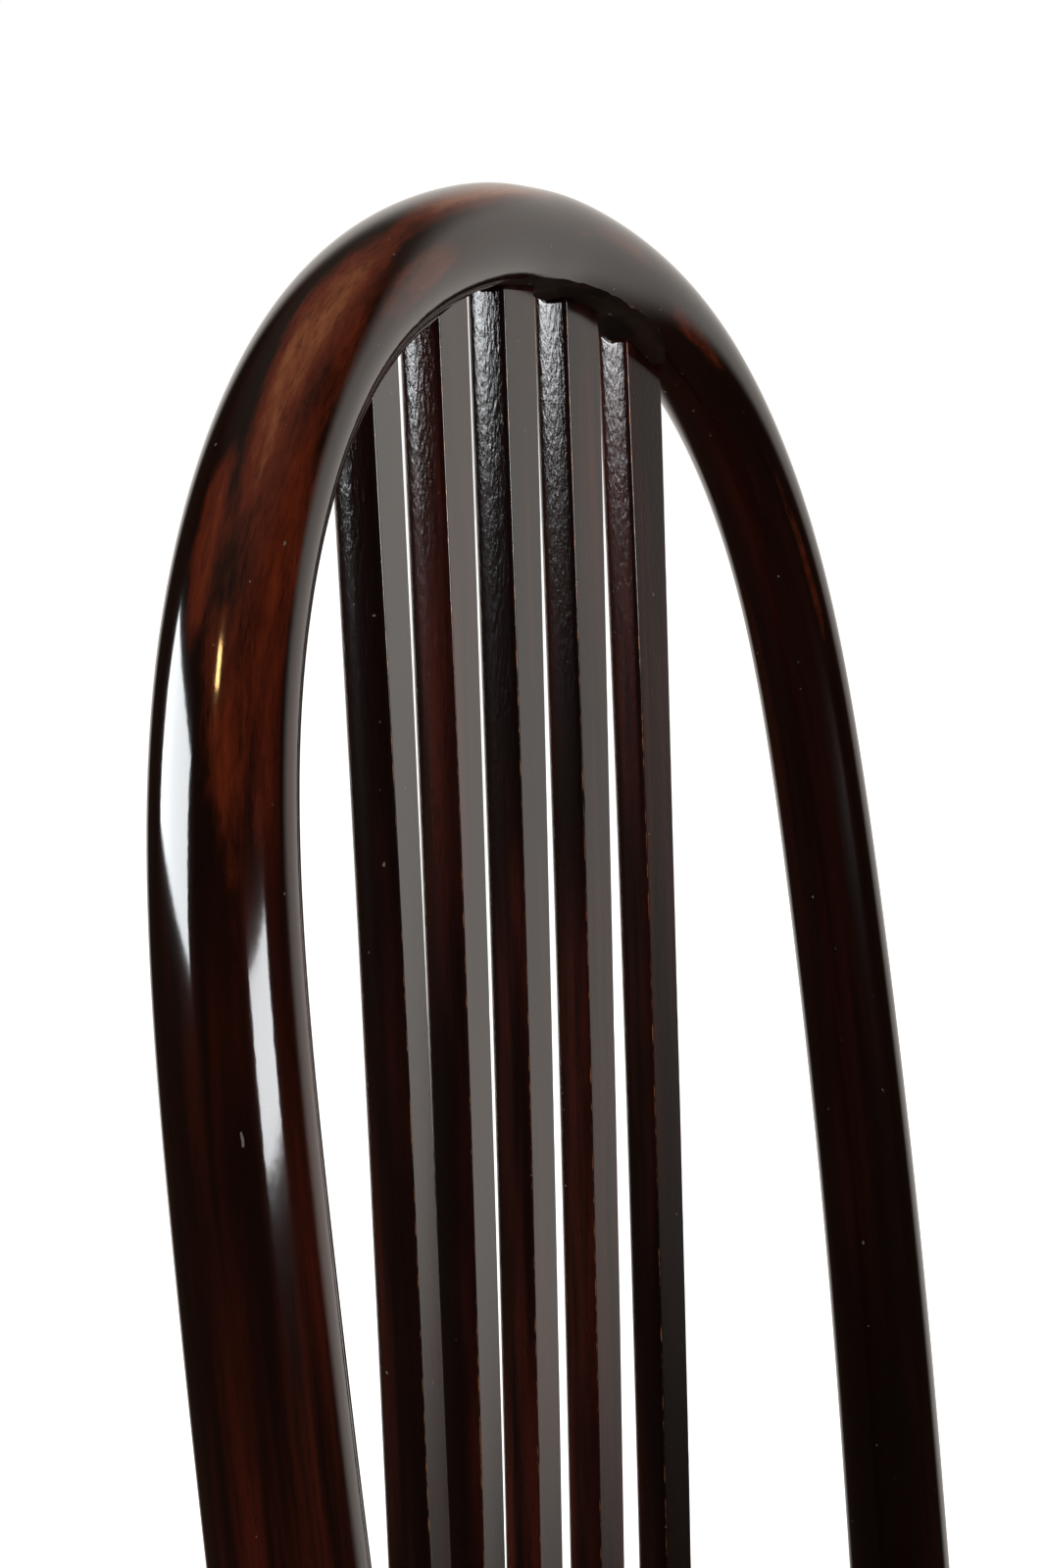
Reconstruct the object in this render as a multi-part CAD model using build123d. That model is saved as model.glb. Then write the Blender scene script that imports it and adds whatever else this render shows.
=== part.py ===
from build123d import *
import math
import os

# Bentwood side chair: one steam-bent rod forms the back hoop and both rear legs,
# and five slats stand inside it on a round seat ring.
# Frame: origin on the floor at the centre of the chair's outline, +Z up,
# the sitter faces -Y, "left" is -X.  All sizes are in millimetres and degrees.

# ---------------------------------------------------------------- overall
TOTAL_HEIGHT = 1040.0
SEAT_HEIGHT = 460.0
SEAT_CENTRE_Y = -2.85
STRETCHER_HEIGHT = 240.0
GLIDE_THICKNESS = 3.0

# ---------------------------------------------------------------- bent rod
CROWN_RADIUS = 13.8             # rod radius at the top of the hoop
SWELL_PER_MM = 0.00827          # the rod thickens down to the seat
FOOT_RADIUS = 13.0
TAPER_PER_MM = 0.0122           # and tapers from the seat to the foot
CROWN_BACK = 186.2              # hoop crown, behind the seat's centre
# Control points of half the rod's centreline, as a uniform cubic B-spline:
# half width, distance forward of the crown, drop below the crown.
ROD_CONTROL = [
    (0.0, 0.0, 0.0),
    (30.5, 0.0, 0.0),
    (108.0, 3.5, 20.0),
    (170.5, 14.5, 91.5),
    (180.5, 30.5, 201.0),
    (185.0, 46.5, 322.5),
    (178.0, 61.0, 434.5),
    (175.0, 74.0, 559.5),
    (177.5, 74.5, 689.0),
    (179.5, 65.5, 824.0),
    (191.0, 40.0, 1030.5),
    (207.0, -14.5, 1211.0),
]
ROD_SPANS = len(ROD_CONTROL) - 2
SECTIONS_PER_SPAN = 3
FOOT_OVERRUN = 0.12             # spans cut off again at the floor

# ---------------------------------------------------------------- recess for the slat tops
SOFFIT_DEPTH = 3.0              # flat cut on the inside of the arch
SOFFIT_FULL = 66.0              # half width at full depth
SOFFIT_END = 94.0               # half width where the cutter has left the rod
SOFFIT_CLEAR = 1.0              # below the rod's surface there
SOFFIT_REACH = 25.0             # cut this far each side of the hoop's plane
SOFFIT_STATIONS = [0.25, 0.5, 0.7, 0.85, 1.0]
CROWN_LEAN = 8.5                # the hoop's plane leans back here

# ---------------------------------------------------------------- slats
SLAT_NAMES = ["far_left", "left", "centre", "right", "far_right"]
SLAT_FACE = 14.7                # width of the flat front, low down
SLAT_FLARE = 3.1                # wider by this much at the crown
FLARE_REACH = 120.0
SLAT_BULGE = 0.65               # the sides swell past the face, half way back
SLAT_DEPTH = 13.4
SLAT_ARRIS = 0.4
SLAT_SECTION_DROPS = [35.0, 70.0, 110.0, 160.0, 230.0, 380.0]
SLAT_PITCH_TOP = 37.8
PITCH_PER_MM = 0.0018           # the slats fan out a little towards the seat
SLAT_SET_BACK = 0.6             # flat front face behind the crown's centreline
SLAT_LEAN = 0.0367              # forward run per mm of drop
SLAT_BOW = 0.0000212            # easing of that run, per mm squared
ROW_CURVE_TOP = 0.00068         # curvature of the row in plan, per mm
CURVE_PER_MM = 0.00000474
SLAT_TURN = 0.1208              # degrees that a slat turns per mm off centre
TOP_TENON_RADIUS = 3.0
TOP_TENON_SET_BACK = 4.8        # from the slat's front face
TOP_TENON_LENGTH = 9.0
TOP_BURIED = 0.35               # share of the rod's radius from its centre down to the slat's top
SEAT_TENON_RADIUS = 4.0
SEAT_TENON_LENGTH = 18.0
TENON_ROOT = 6.0                # every tenon starts this far inside its own piece
GLUE_GAP = 0.1

# ---------------------------------------------------------------- seat
RING_OUTER = 200.0
RING_INNER = 158.0
RING_THICKNESS = 30.0
RING_ROUND = 7.0
REBATE_RADIUS = 166.0
REBATE_DEPTH = 5.5
PANEL_THICKNESS = 5.0
PANEL_GAP = 0.3
DISH_RADIUS = 140.0
DISH_DEPTH = 9.0
DISH_SHAPE = 0.62               # share of the depth left half way out
NAIL_COUNT = 24
NAIL_CIRCLE = 162.0
NAIL_HEAD_RADIUS = 3.0
NAIL_HEAD_HEIGHT = 1.3
NAIL_SHANK_RADIUS = 0.9
NAIL_LENGTH = 14.0

# ---------------------------------------------------------------- front legs
LEG_AZIMUTH = 43.0              # from straight ahead, round the seat ring
LEG_CIRCLE = 180.0
LEG_FOOT_OUT = 25.0             # the foot stands this much wider than the top
LEG_FOOT_FORWARD = 38.0
LEG_FOOT_RADIUS = 12.0
LEG_TOP_RADIUS = 17.5
COLLAR_RADIUS = 20.5
COLLAR_HEIGHT = 12.0
COLLAR_STEP = 1.0               # small shoulder between the bead and the shank
COLLAR_FILLET = 3.0
LEG_OVERRUN = 6.0               # turned longer at both ends, then cut level
LEG_TENON_RADIUS = 10.0
LEG_TENON_LENGTH = 21.0

# ---------------------------------------------------------------- rear leg bolts
HOUSING_RADIUS = 195.7          # where leg and seat ring meet on a flat
BOLT_HEIGHT = 443.0
BOLT_RADIUS = 3.5
BOLT_HEAD_RADIUS = 8.5
BOLT_HEAD_HEIGHT = 4.0
BOLT_SEAT_DEPTH = 2.5           # spot face below the leg's outer surface
WASHER_RADIUS = 9.0
WASHER_THICKNESS = 1.5
NUT_ACROSS_FLATS = 13.0
NUT_THICKNESS = 5.5
BOLT_TAIL = 2.5                 # thread showing past the nut
BOLT_SLOT = 1.6
WASHER_SEAT_DEPTH = 0.8         # spot face in the ring's inner wall
HOLE_GAP = 0.15
CUT_REACH = 10.0                # cutters for spot faces start this far outside the wood

# ---------------------------------------------------------------- stretcher
STRETCHER_CENTRE_Y = 10.0       # behind the seat's centre
STRETCHER_RADIUS = 186.2        # centreline of the bent ring
STRETCHER_ROD = 9.5
SCREW_RADIUS = 2.2
SCREW_HEAD_RADIUS = 4.5
SCREW_HEAD_HEIGHT = 2.6
SCREW_SINK = 1.4
SCREW_BITE = 4.0                # length past the stretcher's centreline
SCREW_SLOT = 1.0

# ---------------------------------------------------------------- glides
GLIDE_RADIUS = 10.5
GLIDE_EDGE = 1.0
PIN_RADIUS = 1.5
PIN_LENGTH = 16.0
SNUG = 0.05                     # radial room round nails, screws and pins
OVERLAP = 1.0                   # cutters and joined lengths reach past a face by this

SIDES = {"left": -1, "right": 1}
CROWN_HEIGHT = TOTAL_HEIGHT - CROWN_RADIUS
CROWN_Y = SEAT_CENTRE_Y + CROWN_BACK
SEAT_DROP = CROWN_HEIGHT - SEAT_HEIGHT
RING_BOTTOM = SEAT_HEIGHT - RING_THICKNESS
INNER_SEAT = RING_INNER + WASHER_SEAT_DEPTH
NUT_FACE = INNER_SEAT - WASHER_THICKNESS
PANEL_TOP = SEAT_HEIGHT - REBATE_DEPTH + PANEL_THICKNESS
CHAIR_SPAN = 600.0              # wider than the chair: size of the trimming blocks


def control_point(index):
    """Control point of the right half; index -1 is the left neighbour of the crown."""
    half_width, forward, drop = ROD_CONTROL[abs(index)]
    return Vector(half_width if index >= 0 else -half_width, CROWN_Y - forward, CROWN_HEIGHT - drop)


def rod_point(t):
    """Centreline at t spans from the crown; t < 0 is the left side."""
    span = min(int(abs(t)), ROD_SPANS - 1)
    f = abs(t) - span
    weights = [(1 - f) ** 3, 3 * f ** 3 - 6 * f * f + 4, 1 + 3 * f + 3 * f * f - 3 * f ** 3, f ** 3]
    point = Vector(0, 0, 0)
    for offset, weight in enumerate(weights):
        point += control_point(span - 1 + offset) * (weight / 6)
    return Vector(math.copysign(point.X, t), point.Y, point.Z)


def rod_tangent(t):
    """Direction of the centreline, from the left foot to the right foot."""
    step = 0.001
    return (rod_point(t + step) - rod_point(t - step)).normalized()


def rod_radius(height):
    """Thin at the crown, thickest at the seat, thin again at the foot."""
    swell = CROWN_RADIUS + SWELL_PER_MM * (CROWN_HEIGHT - height)
    taper = FOOT_RADIUS + TAPER_PER_MM * height
    softness = 1.0
    return (swell + taper - math.sqrt((swell - taper) ** 2 + softness)) / 2


def rod_param_at_height(height):
    """Spans from the crown to the point of the rod at this height."""
    low, high = 1.0, ROD_SPANS + FOOT_OVERRUN
    for _ in range(40):
        middle = (low + high) / 2
        if rod_point(middle).Z > height:
            low = middle
        else:
            high = middle
    return (low + high) / 2


def floor_trim(height):
    """A block that removes everything below this height."""
    thickness = 100
    return Pos(0, 0, height - thickness / 2) * Box(CHAIR_SPAN, CHAIR_SPAN, thickness)


def radial_plane(centre_y, point, height):
    """Plane at this height whose Z axis runs from the centre line out to the point."""
    outward = Vector(point.X, point.Y - centre_y, 0).normalized()
    return Plane(origin=(0, centre_y, height), z_dir=outward, x_dir=(0, 0, 1))


def radial_rod(plane, radius, start, end):
    """Cylinder along the plane's Z axis from start to end."""
    return plane * Pos(0, 0, (start + end) / 2) * Cylinder(radius, end - start)


# ---------------------------------------------------------------- back hoop and rear legs
def rod_blank():
    ends = ROD_SPANS + FOOT_OVERRUN
    count = int(2 * ROD_SPANS * SECTIONS_PER_SPAN)
    sections = []
    for step in range(count + 1):
        t = -ends + 2 * ends * step / count
        centre = rod_point(t)
        plane = Plane(origin=centre, z_dir=rod_tangent(t), x_dir=(0, -1, 0))
        sections.append(plane * Circle(rod_radius(centre.Z)))
    return loft(sections) - floor_trim(GLIDE_THICKNESS)


def rod_param_at_half_width(x):
    """Spans from the crown to where the arch is this far off centre."""
    low, high = 0.0, 3.0
    for _ in range(40):
        middle = (low + high) / 2
        if rod_point(middle).X < x:
            low = middle
        else:
            high = middle
    return (low + high) / 2


def soffit_point(x):
    """Half width and drop, in the leaning plane of the hoop, of the flat under the arch."""
    t = rod_param_at_half_width(x)
    centre, tangent = rod_point(t), rod_tangent(t)
    run_out = max(0, (x - SOFFIT_FULL) / (SOFFIT_END - SOFFIT_FULL))
    depth = SOFFIT_DEPTH * (1 - run_out) - SOFFIT_CLEAR * run_out
    inward = rod_radius(centre.Z) - depth
    slope = math.atan2(-tangent.Z, tangent.X)
    drop = (CROWN_HEIGHT - centre.Z) / math.cos(math.radians(CROWN_LEAN))
    return centre.X - inward * math.sin(slope), drop + inward * math.cos(slope)


def soffit_cutter():
    """What the recess takes off the inside of the arch."""
    lean = math.radians(CROWN_LEAN)
    front = (0, -math.cos(lean), math.sin(lean))
    plane = Plane(origin=(0, CROWN_Y, CROWN_HEIGHT), x_dir=(1, 0, 0), z_dir=front)
    half = [soffit_point(part * SOFFIT_END) for part in SOFFIT_STATIONS]
    crown = (0, SOFFIT_DEPTH - CROWN_RADIUS)
    flat = [(-x, -drop) for x, drop in reversed(half)] + [crown] + [(x, -drop) for x, drop in half]
    outline = Curve() + [Spline(flat), Line(flat[-1], flat[0])]
    return extrude(plane * make_face(outline), amount=SOFFIT_REACH, both=True)


def leg_housing(side):
    """The slice cut out of the rear leg, where the seat ring sits in it."""
    leg = rod_point(side * rod_param_at_height(SEAT_HEIGHT - RING_THICKNESS / 2))
    plane = radial_plane(SEAT_CENTRE_Y, leg, SEAT_HEIGHT - RING_THICKNESS / 2)
    width, reach = 60, 50
    return plane * Pos(0, 0, HOUSING_RADIUS - reach / 2) * Box(RING_THICKNESS, width, reach)


# ---------------------------------------------------------------- slats
def slat_front(index, drop):
    """Centre of a slat's flat front face at this drop below the crown."""
    x = index * (SLAT_PITCH_TOP + PITCH_PER_MM * drop)
    curvature = ROW_CURVE_TOP + CURVE_PER_MM * drop
    y = CROWN_Y + SLAT_SET_BACK - SLAT_LEAN * drop + SLAT_BOW * drop ** 2 - curvature * x * x / 2
    return x, y


def slat_plane(index, drop, set_back=0.0):
    """Level plane on the slat: X across it, Y towards the back of the chair."""
    x, y = slat_front(index, drop)
    turn = math.radians(-SLAT_TURN * x)
    across = (math.cos(turn), math.sin(turn), 0)
    plane = Plane(origin=(x, y, CROWN_HEIGHT - drop), x_dir=across, z_dir=(0, 0, 1))
    return plane * Pos(0, set_back, 0)


def slat_section(drop):
    """Flat front, sides that swell a little, and a half-elliptical back."""
    face = (SLAT_FACE + SLAT_FLARE * math.exp(-(drop / FLARE_REACH) ** 2)) / 2
    half, mid = face + SLAT_BULGE, SLAT_DEPTH / 2
    swell = (mid ** 2 + SLAT_BULGE ** 2) / (2 * SLAT_BULGE)
    quarter = half - swell + math.sqrt(swell ** 2 - (mid / 2) ** 2)
    outline = Curve() + [
        ThreePointArc((-half, mid), (-quarter, mid / 2), (-face, SLAT_ARRIS)),
        Line((-face, SLAT_ARRIS), (-face + SLAT_ARRIS, 0)),
        Line((-face + SLAT_ARRIS, 0), (face - SLAT_ARRIS, 0)),
        Line((face - SLAT_ARRIS, 0), (face, SLAT_ARRIS)),
        ThreePointArc((face, SLAT_ARRIS), (quarter, mid / 2), (half, mid)),
        EllipticalCenterArc((0, mid), half, SLAT_DEPTH - mid, arc_size=180),
    ]
    return make_face(outline)


def crown_drop(x):
    """Drop of the rod's centreline below the crown, this far off centre."""
    return CROWN_HEIGHT - rod_point(rod_param_at_half_width(abs(x))).Z


def slat_bar(index):
    """The slat before its ends are fitted; its top is buried in the rod."""
    top = crown_drop(slat_front(index, 0)[0]) + CROWN_RADIUS * TOP_BURIED
    drops = [top] + [drop for drop in SLAT_SECTION_DROPS if drop > top + 10] + [SEAT_DROP]
    return loft([slat_plane(index, drop) * slat_section(drop) for drop in drops])


def top_tenon(index, gap=0.0):
    """Round tenon from inside the slat into the arch; the gap makes it a mortise."""
    shoulder = crown_drop(slat_front(index, 0)[0]) + CROWN_RADIUS - SOFFIT_DEPTH
    length = TOP_TENON_LENGTH + TENON_ROOT + gap
    place = slat_plane(index, shoulder, TOP_TENON_SET_BACK)
    return place * Pos(0, 0, length / 2 - TENON_ROOT) * Cylinder(TOP_TENON_RADIUS + gap, length)


def seat_tenon(index, gap=0.0):
    """Round tenon down into the seat ring."""
    root = 0.0 if gap else TENON_ROOT
    length = SEAT_TENON_LENGTH + root + gap
    place = slat_plane(index, SEAT_DROP, SLAT_DEPTH / 2)
    return place * Pos(0, 0, root - length / 2) * Cylinder(SEAT_TENON_RADIUS + gap, length)


def slat(index, hoop):
    """The bar cut to fit under the arch, with a tenon at each end."""
    bar = slat_bar(index) - hoop
    bar = max(bar.solids(), key=lambda piece: piece.volume)
    return bar + top_tenon(index) + seat_tenon(index)


# ---------------------------------------------------------------- seat
def seat_ring_blank():
    with_round = Pos((RING_OUTER + RING_INNER) / 2, (SEAT_HEIGHT + RING_BOTTOM) / 2) * RectangleRounded(
        RING_OUTER - RING_INNER, RING_THICKNESS, RING_ROUND
    )
    corner = RING_ROUND + OVERLAP
    inner_corner = Pos(RING_INNER + corner / 2, SEAT_HEIGHT - corner / 2) * Rectangle(corner, corner)
    rebate_width = REBATE_RADIUS - RING_INNER + OVERLAP
    rebate = Pos(REBATE_RADIUS - rebate_width / 2, SEAT_HEIGHT)
    rebate *= Rectangle(rebate_width, 2 * REBATE_DEPTH)
    profile = with_round + inner_corner - rebate
    return Pos(0, SEAT_CENTRE_Y, 0) * revolve(Plane.XZ * profile, Axis.Z)


def seat_panel():
    """Thin dished plywood, its rim lying in the ring's rebate."""
    rim = REBATE_RADIUS - PANEL_GAP
    high = PANEL_TOP
    low = high - PANEL_THICKNESS
    top, under = [
        Spline(
            [(0, face - DISH_DEPTH), (DISH_RADIUS / 2, face - DISH_DEPTH * DISH_SHAPE), (DISH_RADIUS, face)],
            tangents=[(1, 0), (1, 0)],
        )
        for face in (high, low)
    ]
    outline = Curve() + [
        top,
        Line((DISH_RADIUS, high), (rim, high)),
        Line((rim, high), (rim, low)),
        Line((rim, low), (DISH_RADIUS, low)),
        under,
        Line((0, low - DISH_DEPTH), (0, high - DISH_DEPTH)),
    ]
    return Pos(0, SEAT_CENTRE_Y, 0) * revolve(Plane.XZ * make_face(outline), Axis.Z)


def nail_places():
    step = 360 / NAIL_COUNT
    for number in range(NAIL_COUNT):
        angle = math.radians(step * (number + 0.5))
        yield Pos(NAIL_CIRCLE * math.cos(angle), SEAT_CENTRE_Y + NAIL_CIRCLE * math.sin(angle), PANEL_TOP)


def dome(radius, height):
    """Cap of a ball, flat side at Z = 0."""
    ball = (radius ** 2 + height ** 2) / (2 * height)
    slab = Pos(0, 0, height / 2) * Cylinder(radius + OVERLAP, height)
    return slab & Pos(0, 0, height - ball) * Sphere(ball)


def nail():
    """Domed head above the panel and a plain shank."""
    shank = Pos(0, 0, -NAIL_LENGTH / 2) * Cylinder(NAIL_SHANK_RADIUS, NAIL_LENGTH)
    return dome(NAIL_HEAD_RADIUS, NAIL_HEAD_HEIGHT) + shank


def nail_holes():
    hole = Pos(0, 0, -NAIL_LENGTH / 2) * Cylinder(NAIL_SHANK_RADIUS + SNUG, NAIL_LENGTH + 4 * GLUE_GAP)
    return [place * hole for place in nail_places()]


# ---------------------------------------------------------------- front legs
def leg_ends(side):
    angle = math.radians(LEG_AZIMUTH)
    across, ahead = side * LEG_CIRCLE * math.sin(angle), LEG_CIRCLE * math.cos(angle)
    top = Vector(across, SEAT_CENTRE_Y - ahead, RING_BOTTOM)
    foot = Vector(top.X + side * LEG_FOOT_OUT, top.Y - LEG_FOOT_FORWARD, 0)
    return top, foot


def leg_plane(side):
    """Origin at the underside of the ring, Z down the leg's axis."""
    top, foot = leg_ends(side)
    return Plane(origin=top, z_dir=foot - top, x_dir=(0, -1, 0))


def leg_radius(height):
    """Radius of the turned shank, a slight swell below the collar."""
    part = height / RING_BOTTOM
    return LEG_FOOT_RADIUS + (LEG_TOP_RADIUS - LEG_FOOT_RADIUS) * math.sin(part * math.pi / 2)


def front_leg(side):
    """Turned about its own axis: a bead under the seat ring, then the tapering shank."""
    top, foot = leg_ends(side)
    length = (foot - top).length
    end = length + LEG_OVERRUN
    shank_top = COLLAR_HEIGHT + COLLAR_FILLET
    stations = [end] + [length * part for part in (0.8, 0.55, 0.3, 0.12)] + [shank_top]
    shank = Spline([(leg_radius(max(0, RING_BOTTOM * (1 - z / length))), z) for z in stations])
    neck = leg_radius(RING_BOTTOM * (1 - shank_top / length))
    bead = neck + COLLAR_STEP
    outline = Curve() + [
        Line((0, end), (LEG_FOOT_RADIUS, end)),
        shank,
        Line((neck, shank_top), (bead, COLLAR_HEIGHT)),
        ThreePointArc((bead, COLLAR_HEIGHT), (COLLAR_RADIUS, COLLAR_HEIGHT / 2), (bead, 0)),
        Line((bead, 0), (bead, -LEG_OVERRUN)),
        Line((bead, -LEG_OVERRUN), (0, -LEG_OVERRUN)),
        Line((0, -LEG_OVERRUN), (0, end)),
    ]
    turned = leg_plane(side) * revolve(Plane.XZ * make_face(outline), Axis.Z)
    above = 50
    turned -= Pos(0, 0, RING_BOTTOM + above / 2) * Box(CHAIR_SPAN, CHAIR_SPAN, above)
    return turned + leg_tenon(side) - floor_trim(GLIDE_THICKNESS)


def leg_tenon(side, gap=0.0):
    length = LEG_TENON_LENGTH + TENON_ROOT + gap
    return leg_plane(side) * Pos(0, 0, TENON_ROOT - length / 2) * Cylinder(LEG_TENON_RADIUS + gap, length)


# ---------------------------------------------------------------- rear leg bolts
def bolt_line(side):
    """Plane along the bolt, and the distance from the seat's centre to the spot face."""
    leg = rod_point(side * rod_param_at_height(BOLT_HEIGHT))
    plane = radial_plane(SEAT_CENTRE_Y, leg, BOLT_HEIGHT)
    reach = math.hypot(leg.X, leg.Y - SEAT_CENTRE_Y)
    return plane, reach + rod_radius(BOLT_HEIGHT) - BOLT_SEAT_DEPTH


def slotted_head(radius, height, slot_width):
    """Dome with a driver slot half its height deep."""
    return dome(radius, height) - Pos(0, 0, height) * Box(slot_width, 3 * radius, height)


def seat_bolt(side):
    plane, seat = bolt_line(side)
    tail = NUT_FACE - NUT_THICKNESS - BOLT_TAIL
    head = plane * Pos(0, 0, seat) * slotted_head(BOLT_HEAD_RADIUS, BOLT_HEAD_HEIGHT, BOLT_SLOT)
    return head + radial_rod(plane, BOLT_RADIUS, tail, seat)


def seat_washer(side):
    plane, _ = bolt_line(side)
    bore = radial_rod(plane, BOLT_RADIUS + HOLE_GAP, NUT_FACE - OVERLAP, INNER_SEAT + OVERLAP)
    return radial_rod(plane, WASHER_RADIUS, NUT_FACE, INNER_SEAT) - bore


def seat_nut(side):
    plane, _ = bolt_line(side)
    hexagon = RegularPolygon(NUT_ACROSS_FLATS / 2, 6, major_radius=False) - Circle(BOLT_RADIUS)
    return plane * Pos(0, 0, NUT_FACE - NUT_THICKNESS) * extrude(hexagon, NUT_THICKNESS)


def bolt_cuts(side):
    """Through hole, the head's spot face and the washer's spot face."""
    plane, seat = bolt_line(side)
    inner, outer = INNER_SEAT - CUT_REACH, seat + CUT_REACH
    return [
        radial_rod(plane, BOLT_RADIUS + HOLE_GAP, inner, outer),
        radial_rod(plane, BOLT_HEAD_RADIUS + HOLE_GAP, seat, outer),
        radial_rod(plane, WASHER_RADIUS + HOLE_GAP, inner, INNER_SEAT),
    ]


# ---------------------------------------------------------------- stretcher
def stretcher_blank():
    centre_y = SEAT_CENTRE_Y + STRETCHER_CENTRE_Y
    return Pos(0, centre_y, STRETCHER_HEIGHT) * Torus(STRETCHER_RADIUS, STRETCHER_ROD)


def stretcher_joints():
    """Centre and radius of each leg at the stretcher's height."""
    rear_t = rod_param_at_height(STRETCHER_HEIGHT)
    for side in SIDES.values():
        yield rod_point(side * rear_t), rod_radius(STRETCHER_HEIGHT)
        top, foot = leg_ends(side)
        yield foot + (top - foot) * (STRETCHER_HEIGHT / RING_BOTTOM), leg_radius(STRETCHER_HEIGHT)


def screw_line(leg, radius):
    """Plane along the screw, and where its head's seat lies."""
    centre_y = SEAT_CENTRE_Y + STRETCHER_CENTRE_Y
    reach = math.hypot(leg.X, leg.Y - centre_y)
    return radial_plane(centre_y, leg, STRETCHER_HEIGHT), reach + radius - SCREW_SINK


def screw(leg, radius):
    plane, seat = screw_line(leg, radius)
    head = plane * Pos(0, 0, seat) * slotted_head(SCREW_HEAD_RADIUS, SCREW_HEAD_HEIGHT, SCREW_SLOT)
    return head + radial_rod(plane, SCREW_RADIUS, STRETCHER_RADIUS - SCREW_BITE, seat)


def screw_cuts(leg, radius):
    plane, seat = screw_line(leg, radius)
    return [
        radial_rod(plane, SCREW_RADIUS + SNUG, STRETCHER_RADIUS - SCREW_BITE - HOLE_GAP, seat + CUT_REACH),
        radial_rod(plane, SCREW_HEAD_RADIUS + HOLE_GAP, seat, seat + CUT_REACH),
    ]


# ---------------------------------------------------------------- glides
def foot_centres():
    """Where each leg's axis meets the top of its glide."""
    for name, side in SIDES.items():
        yield f"rear_{name}", rod_point(side * rod_param_at_height(GLIDE_THICKNESS))
        top, foot = leg_ends(side)
        yield f"front_{name}", foot + (top - foot) * (GLIDE_THICKNESS / RING_BOTTOM)


def glide(centre):
    """Flat-bottomed disc with a bevelled edge and one pin."""
    disc = Pos(0, 0, GLIDE_THICKNESS / 2) * Cylinder(GLIDE_RADIUS, GLIDE_THICKNESS)
    disc = chamfer(disc.faces().sort_by(Axis.Z)[0].edges(), GLIDE_EDGE)
    pin = Pos(0, 0, GLIDE_THICKNESS + PIN_LENGTH / 2 - OVERLAP) * Cylinder(PIN_RADIUS, PIN_LENGTH)
    return Pos(centre.X, centre.Y, 0) * (disc + pin)


def pin_hole(centre):
    length = PIN_LENGTH + OVERLAP
    middle = GLIDE_THICKNESS + length / 2 - 2 * OVERLAP
    return Pos(centre.X, centre.Y, middle) * Cylinder(PIN_RADIUS + SNUG, length)


# ---------------------------------------------------------------- assembly
def build():
    parts = {}
    feet = dict(foot_centres())
    joints = list(stretcher_joints())

    hoop = rod_blank() - soffit_cutter() - [leg_housing(side) for side in SIDES.values()]
    for number, name in enumerate(SLAT_NAMES):
        parts[f"back_slat_{name}"] = slat(number - 2, hoop)
    ring = seat_ring_blank() - hoop
    ring -= [seat_tenon(number - 2, GLUE_GAP) for number in range(5)]
    ring -= [leg_tenon(side, GLUE_GAP) for side in SIDES.values()]
    ring -= nail_holes()
    hoop -= [top_tenon(number - 2, GLUE_GAP) for number in range(5)]
    for side in SIDES.values():
        hoop -= bolt_cuts(side)
        ring -= bolt_cuts(side)

    front_legs = {name: front_leg(side) for name, side in SIDES.items()}
    stretcher = stretcher_blank() - hoop - list(front_legs.values())
    for leg, radius in joints:
        cuts = screw_cuts(leg, radius)
        stretcher -= cuts[:1]
        if leg.Y > 0:
            hoop -= cuts
        else:
            front_legs = {name: body - cuts for name, body in front_legs.items()}

    for name in SIDES:
        hoop -= pin_hole(feet[f"rear_{name}"])
        parts[f"front_leg_{name}"] = front_legs[name] - pin_hole(feet[f"front_{name}"])
    parts["back_hoop"] = hoop
    parts["seat_ring"] = ring
    parts["seat_panel"] = seat_panel() - nail_holes()
    parts["seat_panel_nails"] = Compound(children=[place * nail() for place in nail_places()])
    parts["stretcher_ring"] = stretcher
    parts["stretcher_screws"] = Compound(children=[screw(leg, radius) for leg, radius in joints])
    parts["seat_bolts"] = Compound(children=[seat_bolt(side) for side in SIDES.values()])
    parts["seat_bolt_washers"] = Compound(children=[seat_washer(side) for side in SIDES.values()])
    parts["seat_bolt_nuts"] = Compound(children=[seat_nut(side) for side in SIDES.values()])
    for name, centre in feet.items():
        parts[f"glide_{name}"] = glide(centre)
    return parts


os.makedirs("parts", exist_ok=True)
for node, shape in build().items():
    export_step(shape, f"parts/{node}.step")
    print(node, round(shape.volume), shape.bounding_box())
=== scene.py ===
import math

import bpy
import numpy as np
from mathutils import Matrix, Vector, noise


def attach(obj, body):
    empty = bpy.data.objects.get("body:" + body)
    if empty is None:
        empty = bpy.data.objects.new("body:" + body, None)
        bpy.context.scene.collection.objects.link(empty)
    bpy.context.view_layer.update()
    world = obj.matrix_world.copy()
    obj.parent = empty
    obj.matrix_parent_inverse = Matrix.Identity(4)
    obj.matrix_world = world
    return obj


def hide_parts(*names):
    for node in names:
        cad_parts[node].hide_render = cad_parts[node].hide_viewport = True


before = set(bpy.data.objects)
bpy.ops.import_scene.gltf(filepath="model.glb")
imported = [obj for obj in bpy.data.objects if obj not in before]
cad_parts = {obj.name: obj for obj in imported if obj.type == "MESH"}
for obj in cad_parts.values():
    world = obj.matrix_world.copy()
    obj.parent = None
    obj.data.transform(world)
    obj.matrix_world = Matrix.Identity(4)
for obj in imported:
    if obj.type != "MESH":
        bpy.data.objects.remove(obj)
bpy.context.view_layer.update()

# Bentwood side chair.  Geometry is worked out in millimetres, in the frame of the
# CAD model, and turned into metres when a mesh is made.
METRES = 0.001

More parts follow.
